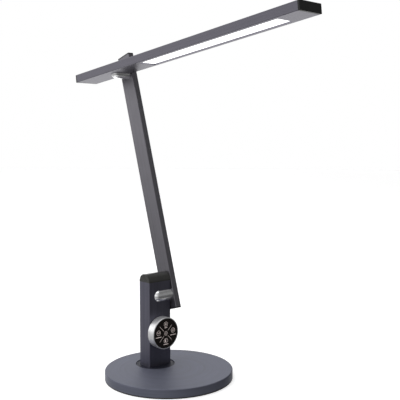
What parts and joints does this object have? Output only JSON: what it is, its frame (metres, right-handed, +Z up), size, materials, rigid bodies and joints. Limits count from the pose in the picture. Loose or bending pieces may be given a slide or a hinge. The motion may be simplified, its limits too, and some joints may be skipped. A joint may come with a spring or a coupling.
{
  "type": "desk lamp",
  "caption": "Desk lamp with a round weighted base, swivelling post with a round touch dial, leaning side arm on friction hinges and a long flat light bar head.",
  "frame": {"origin": "centre of the round base on the surface the lamp stands on", "axes": "+Z up, -Y towards the front where the light head reaches, +X to the side that carries the arm"},
  "size_m": [0.2, 0.5044, 0.5396],
  "materials": {
    "anodised_grey": "satin anodised",
    "zinc_steel": "zinc plated",
    "dark_metal": "satin black",
    "cast_alloy": "as machined",
    "satin_silver": "satin chrome",
    "black_plastic": "fine moulded",
    "gloss_black": "gloss black glass",
    "rubber": "matte",
    "lead_jacket": "smooth jacket",
    "acetal": "smooth",
    "board_green": "solder mask",
    "component_black": "moulded",
    "brass": "plain",
    "magnet": "sintered",
    "diffuser": "frosted, lit",
    "clear_acrylic": "clear",
    "white_plastic": "white",
    "led_yellow": "phosphor",
    "foam": "open foam"
  },
  "bodies": {
    "base": {"base_cover": "anodised_grey", "base_weight_plate": "zinc_steel", "base_bottom_cover": "black_plastic", "base_grip_pad": "rubber", "base_screws": "zinc_steel", "dc_inlet_socket": "black_plastic", "base_lead": "lead_jacket", "swivel_bush": "acetal", "swivel_slide_washer": "acetal", "swivel_stop_pin": "zinc_steel"},
    "post": {"turntable_disc": "dark_metal", "swivel_spindle": "zinc_steel", "swivel_spring_washer": "zinc_steel", "swivel_nut": "zinc_steel", "post_tube": "anodised_grey", "post_cap": "black_plastic", "post_foot_block": "cast_alloy", "post_foot_screws": "zinc_steel", "driver_board": "board_green", "board_standoffs": "brass", "driver_components": "component_black", "post_leads": "lead_jacket", "dial_hub": "black_plastic", "dial_screws": "zinc_steel", "touch_panel": "gloss_black", "touch_board": "board_green", "lower_hinge_barrel": "satin_silver", "lower_hinge_screws": "zinc_steel", "lower_hinge_bushes": "acetal", "lower_barrel_cap": "satin_silver", "post_hinge_block": "cast_alloy"},
    "dimmer": {"dimmer_ring": "satin_silver", "ring_magnet": "magnet"},
    "arm": {"arm_tube": "anodised_grey", "arm_end_plugs": "black_plastic", "arm_lead": "lead_jacket", "lower_hinge_shaft": "zinc_steel", "lower_hinge_nut": "zinc_steel", "lower_disc_springs": "zinc_steel", "lower_spacer_washer": "acetal", "upper_hinge_shaft": "zinc_steel", "upper_hinge_nut": "zinc_steel", "upper_disc_springs": "zinc_steel", "upper_spacer_washer": "acetal"},
    "head": {"head_housing": "anodised_grey", "head_front_cap": "black_plastic", "head_rear_cap": "black_plastic", "upper_hinge_barrel": "satin_silver", "upper_hinge_screws": "zinc_steel", "upper_hinge_bushes": "acetal", "upper_barrel_cap": "satin_silver", "head_hinge_block": "cast_alloy", "diffuser_panel": "diffuser", "light_guide": "clear_acrylic", "reflector_sheet": "white_plastic", "led_strips": "white_plastic", "led_chips": "led_yellow", "heat_spreader": "cast_alloy", "foam_pads": "foam", "head_lead": "lead_jacket"}
  },
  "joints": [
    {"name": "base_swivel", "type": "hinge", "parent": "base", "child": "post", "pos_m": [0, 0.0345, 0], "axis": [0, 0, 1], "range_deg": [-90, 90]},
    {"name": "dimmer_turn", "type": "hinge", "parent": "post", "child": "dimmer", "pos_m": [0, 0.0145, 0.0678], "axis": [0, -1, 0], "continuous": true},
    {"name": "arm_tilt", "type": "hinge", "parent": "post", "child": "arm", "pos_m": [0, 0.0263, 0.1248], "axis": [1, 0, 0], "range_deg": [-10, 50]},
    {"name": "head_tilt", "type": "hinge", "parent": "arm", "child": "head", "pos_m": [0, 0.1332, 0.48111], "axis": [1, 0, 0], "range_deg": [-50, 50]}
  ]
}
